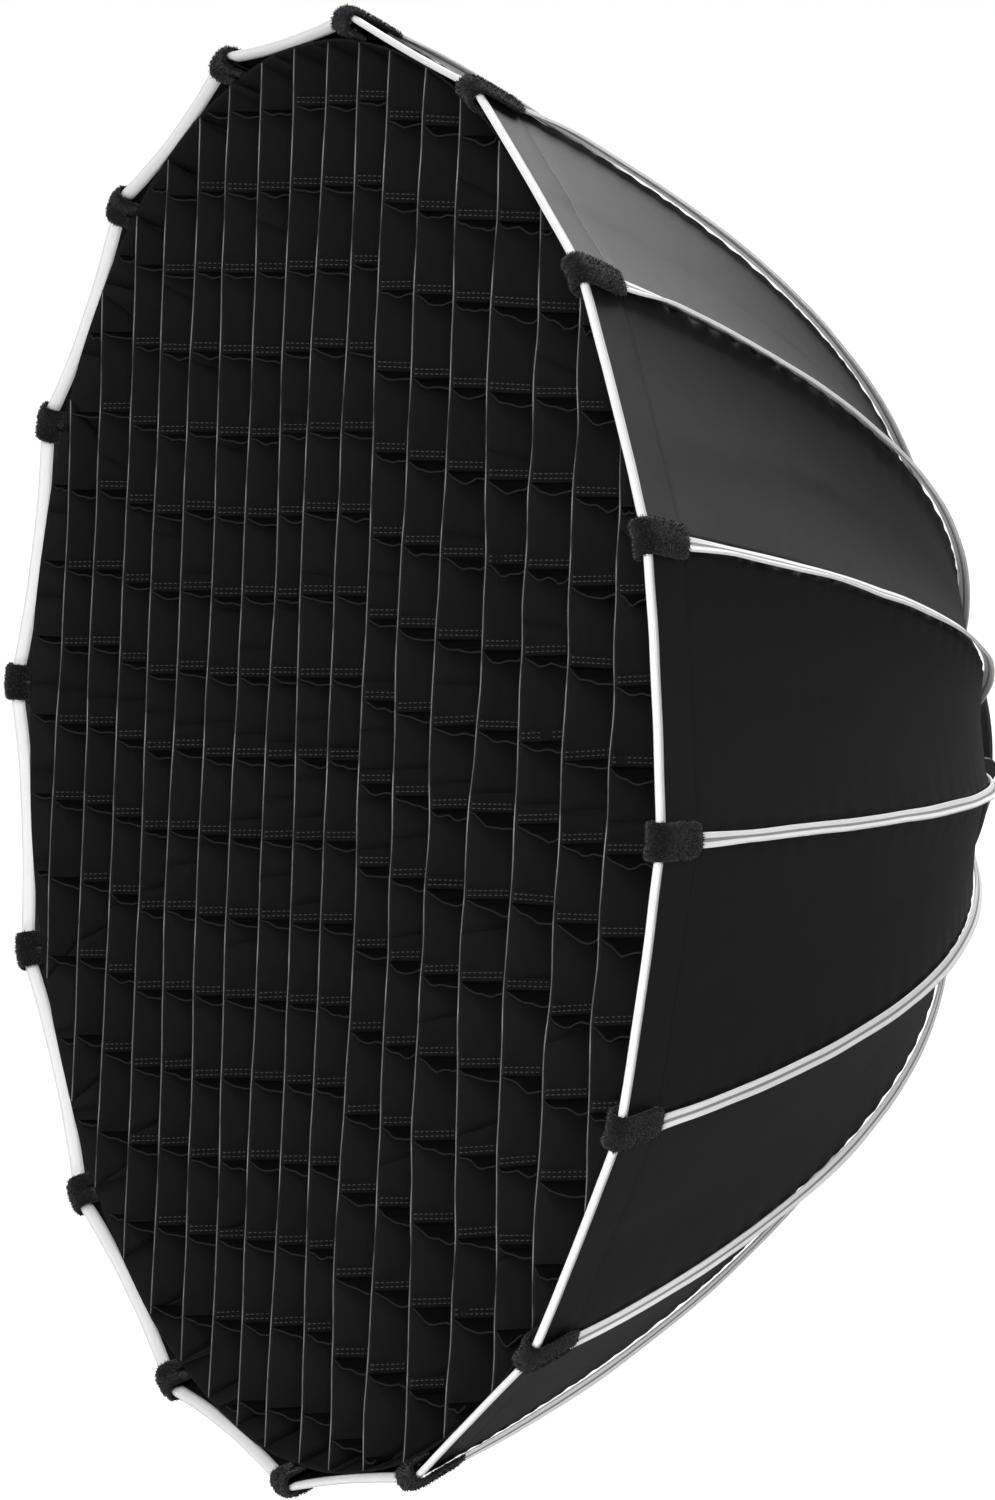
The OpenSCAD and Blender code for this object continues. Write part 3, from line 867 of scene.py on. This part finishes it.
def loop_pad(k):
    tops, bottoms, uvs = [], [], []
    slope = slope_at(RIM_R - 0.008)
    for i, (s, n) in enumerate(PAD_PATH):
        a, b = PAD_PATH[max(i - 1, 0)], PAD_PATH[min(i + 1, len(PAD_PATH) - 1)]
        ds, dn = b[0] - a[0], b[1] - a[1]
        size = math.hypot(ds, dn)
        end = 1 if i < 11 else (0.93, 0.80)[i - 11]
        row = [[], [], []]
        for j in range(13):
            x = j / 12 * 2 - 1
            side = x * PAD_W / 2 * end * (1 + 0.03 * wobble(i * 0.9, x, k * 3.3))
            round_off = PAD_T * 0.45 * max(0, abs(x) - 0.8) / 0.2
            lift = 0.0005 * wobble(i * 0.5, x * 2, k * 6.1)
            for put, depth in ((row[0], PAD_T / 2 - round_off + lift),
                               (row[1], -PAD_T / 2 + round_off * 0.3)):
                ss, nn = s - depth * dn / size, n + depth * ds / size
                put.append(on_rib(k, RIM_R - ss * math.cos(slope), nn, side))
            row[2].append((side, s))
        for table, values in zip((tops, bottoms, uvs), row):
            table.append(values)
    verts, faces, both, _ = shell_of(tops, bottoms, uvs)
    obj = make(f"loop_pad_{k:02d}", verts, faces, both, [0] * len(faces), [PILE])
    flip_if_inside_out(obj)
    apply_tree(obj, *PILE_LOOPS, Density=5.5e5, Seed=k, Material=PILE)
    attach(obj, f"arm_{k:02d}")
    return obj


pads = [loop_pad(k) for k in range(1, RIBS + 1)]
print("loop pads:", len(pads), "faces each:", len(pads[0].data.polygons))

# %% [markdown]
# ## Fabric grid
#
# The egg-crate is sewn from strips 50 mm deep. Long strips run top to bottom, and short cross
# strips are sewn between them by their turned-up ends, with two rows of stitching. It hangs
# slack, more so towards the right, so the strips wander and the cross strips sag.

# %% Sizes of the grid
GRID_FRONT = RIM_Y + 0.006
GRID_DEPTH = 0.050
LINES = [-0.391, -0.347, -0.303, -0.259, -0.215, -0.171, -0.127, -0.083, -0.040, 0.003,
         0.047, 0.094, 0.143, 0.198, 0.256, 0.310, 0.369]  # where the long strips settled
ROW_PITCH = 0.050
ROW_SHIFT = -0.016
STRIP_T = 0.0009
GRID_SLOTS = [GRID, GRID_EDGE, GRID_EDGE_DIM, GRID_CROSS_SHADE]
# How far each column of cells rode up as the cloth settled, from left to right.
CELL_RISE = [0.001 * v for v in (-4, -6, -2, -6, -9, -4, -3, 1, 6, 10, 14, 4, 3, 1, 2, 4, 0, 0)]
CELL_ROWS = range(-9, 9)


def border_r(depth):
    """Radius of the grid's border band at a depth behind the grid's front."""
    return radius_at(GRID_FRONT - RIM_Y + depth) - 0.0145


def slack(x):
    """How loose the grid hangs, from tight on the left to loose on the right."""
    return 0.35 + 0.65 * ease((x + 0.05) / 0.35)


def line_x(i, z, depth):
    """Where long strip i runs at a height and a depth."""
    front = 1 - 0.55 * depth / GRID_DEPTH
    loose = slack(LINES[i])
    x = LINES[i] + front * (0.0075 * (0.5 + loose) * wobble(z * 5, i * 3.7)
                            + 0.0032 * loose * wobble(z * 22, i * 8.1))
    return x + 0.0016 * loose * wobble(z * 30, depth * 60, i * 2.3)


def row_z(i, row, u, depth):
    """Height of the cross strip in cell column i; u runs across the cell."""
    loose = slack(LINES[min(i, len(LINES) - 1)])
    front = 1 - depth / GRID_DEPTH
    sag = 4 * u * (1 - u) * (0.0006 + 0.0030 * loose * front)
    curl = 0.0050 * loose * front * wobble(u * 3.1, row * 5.7, i * 3.3)
    jitter = 0.002 * wobble(row * 7.9, i * 4.9)
    return ROW_SHIFT + row * ROW_PITCH + CELL_RISE[i] + jitter - sag + curl


class Sheets:
    """Collects many thin closed strips in one list of vertices and faces."""

    def __init__(self):
        self.verts, self.faces, self.uvs, self.mats = [], [], [], []

    def strip(self, middle, normal, uvs, thick, slots):
        """middle is a table of points, normal the strip's direction of thickness."""
        half = Vector(normal) * (thick / 2)
        front = [[p + half for p in row] for row in middle]
        back = [[p - half for p in row] for row in middle]
        verts, faces, both, mats = shell_of(front, back, uvs)
        faces = outward(faces, verts, half)
        base = len(self.verts)
        self.verts += verts
        self.uvs += both
        self.faces += [tuple(base + v for v in f) for f in faces]
        self.mats += [slots[m] for m in mats]


def sector_of(x, z):
    """1 to 16: the sector between rib k and rib k + 1."""
    a = (math.pi / 2 - math.atan2(z, x)) % (2 * math.pi)
    return int(a / STEP) % RIBS + 1


def inside(p):
    """The point, drawn in to the border band if it lies outside it."""
    most = (border_r(max(0, p.y - GRID_FRONT)) + 0.0015) / max(math.hypot(p.x, p.z), 1e-6)
    return p if most >= 1 else Vector((p.x * most, p.y, p.z * most))


def lay(middle, normal, uvs, thick, slots):
    """Lays a strip, divided where it passes from one sector of the grid to the next."""
    middle = [[inside(p) for p in row] for row in middle]
    owner = []
    for a, b in zip(middle, middle[1:]):
        centre = (a[0] + a[-1] + b[0] + b[-1]) / 4
        owner.append(sector_of(centre.x, centre.z))
    start = 0
    for n in range(1, len(owner) + 1):
        if n == len(owner) or owner[n] != owner[start]:
            grid_sheets[owner[start]].strip(middle[start:n + 1], normal, uvs[start:n + 1],
                                            thick, slots)
            start = n


def woven_edge(table, normal, uvs, width, slot):
    """The woven front edge: a narrow paler strip, a little thicker than the cloth."""
    edge = [[p + Vector((0, -0.0002 + 0.0004 * n, 0)) for n in (0, 1)] for p, *_ in table]
    marks = [[(0, u[0][1]), (width, u[0][1])] for u in uvs]
    lay(edge, normal, marks, STRIP_T * 1.1, (slot, slot, slot))


grid_sheets = {k: Sheets() for k in range(1, RIBS + 1)}
DEPTHS = [GRID_DEPTH * f for f in (0, 0.04, 0.25, 0.5, 0.75, 1.0)]

# %% Long strips
def long_strip(i):
    z_end = [math.sqrt(max(border_r(d) ** 2 - LINES[i] ** 2, 1e-6)) for d in DEPTHS]
    count = max(8, round(2 * z_end[0] / 0.006))
    table, uvs = [], []
    for n in range(count + 1):
        row, marks = [], []
        for d, top in zip(DEPTHS, z_end):
            z = -top + 2 * top * n / count
            row.append(Vector((line_x(i, z, d), GRID_FRONT + d, z)))
            marks.append((d, z))
        table.append(row)
        uvs.append(marks)
    lay(table, (1, 0, 0), uvs, STRIP_T, (0, 0, 0))
    woven_edge(table, (1, 0, 0), uvs, 0.0008, 1)


for i in range(len(LINES)):
    long_strip(i)
print("long strips:", len(LINES))

# %% Cross strips
TAB_H = 0.0075  # the turned-up end that is sewn to the long strip
STITCH_ROWS = (0.0028, 0.0056)  # heights of the two rows of stitching on it
STITCH_START, STITCH_PITCH, STITCHES = 0.0025, 0.0034, 14


def column_ends(i, z):
    """The x range of cell column i at a height, or None outside the border."""
    reach = math.sqrt(max(border_r(0) ** 2 - z * z, 0))
    left = LINES[i - 1] if i else -1
    right = LINES[i] if i < len(LINES) else 1
    left, right = max(left, -reach), min(right, reach)
    return (left, right) if right - left > 0.008 else None


def cross_strip(i, row):
    z_mid = ROW_SHIFT + row * ROW_PITCH + CELL_RISE[i]
    ends = column_ends(i, max(abs(z_mid), abs(z_mid - 0.006)))
    if not ends:
        return
    table, uvs = [], []
    for n in range(9):
        u = n / 8
        line, marks = [], []
        for d in DEPTHS:
            z = row_z(i, row, u, d)
            reach = math.sqrt(max(border_r(d) ** 2 - z * z, 0)) - 0.001
            a = line_x(i - 1, z_mid, d) if i and ends[0] == LINES[i - 1] else ends[0]
            b = line_x(i, z_mid, d) if i < len(LINES) and ends[1] == LINES[i] else ends[1]
            a, b = max(a, -reach), min(b, reach)
            line.append(Vector((a + (b - a) * u, GRID_FRONT + d + 0.0006, z)))
            marks.append((d, a + (b - a) * u))
        table.append(line)
        uvs.append(marks)
    # Slot 3 is the darker cross-strip fabric: painted shade on the cross strips' upper faces.
    lay(table, (0, 0, 1), uvs, STRIP_T, (3, 3, 3))
    woven_edge(table, (0, 0, 1), uvs, 0.0007, 2)
    # The turned-up ends, each on the long strip beside it.
    for side, at in ((1, i - 1), (-1, i)):
        if 0 <= at < len(LINES) and ends[(1 - side) // 2] == LINES[at]:
            if math.hypot(LINES[at], abs(z_mid) + TAB_H + 0.004) < border_r(GRID_DEPTH):
                sewn_end(i, row, at, side)


def sewn_end(i, row, at, side):
    table, uvs = [], []
    u = 0.0 if side > 0 else 1.0
    for n in range(5):
        line, marks = [], []
        for d in DEPTHS:
            z = row_z(i, row, u, d) + TAB_H * n / 4
            x = line_x(at, z, d) + side * (STRIP_T + 0.0003 + (0.0008 if n == 4 else 0))
            line.append(Vector((x, GRID_FRONT + d + 0.0004, z)))
            marks.append((d, z))
        table.append(line)
        uvs.append(marks)
    lay(table, (1, 0, 0), uvs, STRIP_T, (0, 0, 0))
    for height in STITCH_ROWS:
        for n in range(STITCHES):
            d = STITCH_START + STITCH_PITCH * n
            z = row_z(i, row, u, d) + height
            x = line_x(at, z, d) + side * (1.5 * STRIP_T + 0.0004)
            if math.hypot(x, z) < border_r(d) - 0.004:
                grid_marks.append(((x, GRID_FRONT + d, z), (0, 1, 0), (side, 0, 0)))


grid_marks = []
for i in range(len(LINES) + 1):
    for row in CELL_ROWS:
        cross_strip(i, row)
print("stitches:", len(grid_marks))

# %% Border band
def border_band():
    table, uvs = [], []
    bands, part = 48, 5
    around = bands * part
    for n in range(around + 1):
        a = 2 * math.pi * n / around
        line, marks = [], []
        for d in DEPTHS:
            r = border_r(d) + 0.0008 + 0.0016 * wobble(math.cos(a) * 6, math.sin(a) * 6, d * 30)
            line.append(Vector((r * math.cos(a), GRID_FRONT + d, r * math.sin(a))))
            marks.append((d, a * border_r(0)))
        table.append(line)
        uvs.append(marks)
    # One run of short bands, each with its own direction of thickness.
    for n in range(bands):
        a = 2 * math.pi * (n + 0.5) / bands
        lay(table[n * part:(n + 1) * part + 1], (math.cos(a), 0, math.sin(a)),
            uvs[n * part:(n + 1) * part + 1], STRIP_T * 1.5, (0, 0, 0))


border_band()
print("faces of the grid:", sum(len(g.faces) for g in grid_sheets.values()))

# %% [markdown]
# ### Sectors
#
# The real grid bunches up when the ribs fold. Here it is divided into sixteen sectors, each a
# piece of its own held by the hub. A strip is divided where it passes from one to the next.


def grid_sector(k):
    part = grid_sheets[k]
    obj = make(f"grid_{k:02d}", part.verts, part.faces, part.uvs, part.mats, GRID_SLOTS)
    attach(obj, "hub")
    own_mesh(obj)
    marks = [m for m in grid_marks if sector_of(m[0][0], m[0][2]) == k]
    sewn = stitches(f"grid_stitches_{k:02d}", marks, THREAD, length=0.0018, width=0.0005,
                    height=0.0004)
    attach(sewn, "hub")
    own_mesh(sewn)
    return obj


grid_pieces = [grid_sector(k) for k in range(1, RIBS + 1)]
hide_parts("grid")
print("grid sectors:", len(grid_pieces))

# %% [markdown]
# ## Diffusers
#
# The front cloth lies close behind the grid and fills the shell. The small inner cloth hides the
# lamp and is held by eight elastic straps.

# %% Diffusers
DIFFUSER_T = 0.0008


def cloth_sector(name, k, radius, depth):
    """One sixteenth of a round cloth, from its middle out to a straight edge."""
    front, back, uvs = [], [], []
    for i in range(25):
        f = max(i / 24, 0.004)
        rows = [[], [], []]
        for j in range(13):
            t = j / 12
            flat = (rib_out(k) * (1 - t) + rib_out(k + 1) * t) * radius * f
            wave = 0.0012 * wobble(flat.x * 9, flat.z * 9, depth * 50) * (1 - f ** 6)
            y = RIM_Y + depth + 0.0004 + wave
            rows[0].append(Vector((flat.x, y, flat.z)))
            rows[1].append(Vector((flat.x, y + DIFFUSER_T, flat.z)))
            rows[2].append((flat.x, flat.z))
        for table, row in zip((front, back, uvs), rows):
            table.append(row)
    verts, faces, both, _ = shell_of(front, back, uvs)
    obj = make(f"{name}_{k:02d}", verts, faces, both, [0] * len(faces), [DIFFUSER])
    flip_if_inside_out(obj)
    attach(obj, "hub")
    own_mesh(obj)
    return obj


FRONT_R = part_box("front_diffuser")[1].x
INNER_R = 0.190
fronts = [cloth_sector("front_cloth", k, FRONT_R, FRONT_CLOTH_DEPTH)
          for k in range(1, RIBS + 1)]
inners = [cloth_sector("inner_cloth", k, INNER_R, INNER_CLOTH_DEPTH)
          for k in range(1, RIBS + 1)]
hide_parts("front_diffuser")
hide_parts("inner_diffuser")
print("front cloth radius:", round(FRONT_R, 3))


# %% Elastic straps
STRAP_W, STRAP_T = 0.020, 0.0010
STRAP_LAP = 0.006  # the strap's end that is sewn onto the inner cloth


def strap(k):
    reach = radius_at(INNER_CLOTH_DEPTH + 0.002) - 0.012
    places = [STRAP_W * f for f in (-0.5, -0.25, 0, 0.25, 0.5)]
    table, uvs = [], []
    for i in range(9):
        r = INNER_R - STRAP_LAP + (reach - INNER_R + STRAP_LAP) * i / 8
        table.append([rib_out(k) * r + rib_side(k) * w
                      + Vector((0, RIM_Y + INNER_CLOTH_DEPTH - 0.0008, 0)) for w in places])
        uvs.append([(w, r) for w in places])
    under = [[p + Vector((0, STRAP_T, 0)) for p in row] for row in table]
    verts, faces, both, _ = shell_of(table, under, uvs)
    obj = make(f"strap_{k:02d}", verts, faces, both, [0] * len(faces), [ELASTIC])
    flip_if_inside_out(obj)
    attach(obj, "hub")
    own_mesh(obj)
    return obj


straps = [strap(k) for k in range(1, RIBS + 1, 2)]
print("straps:", len(straps))

# %% [markdown]
# ## Finish
#
# The floor is laid well below, and it gives the object no light and no reflection.

# %% Floor and finish
FLOOR_REACH = 40


def floor():
    mat, _, shade = material("pale_floor", "#f7f7f7", 0.9, specular=0.1)
    shade.inputs["Emission Color"].default_value = (1, 1, 1, 1)
    shade.inputs["Emission Strength"].default_value = 0.98
    mesh = bpy.data.meshes.new("floor")
    corners = [(x * FLOOR_REACH, y * FLOOR_REACH, FLOOR_Z)
               for x, y in ((-1, -1), (1, -1), (1, 1), (-1, 1))]
    mesh.from_pydata(corners, [], [(0, 1, 2, 3)])
    mesh.materials.append(mat)
    obj = bpy.data.objects.new("floor", mesh)
    obj.visible_diffuse = obj.visible_glossy = False
    bpy.context.scene.collection.objects.link(obj)


floor()
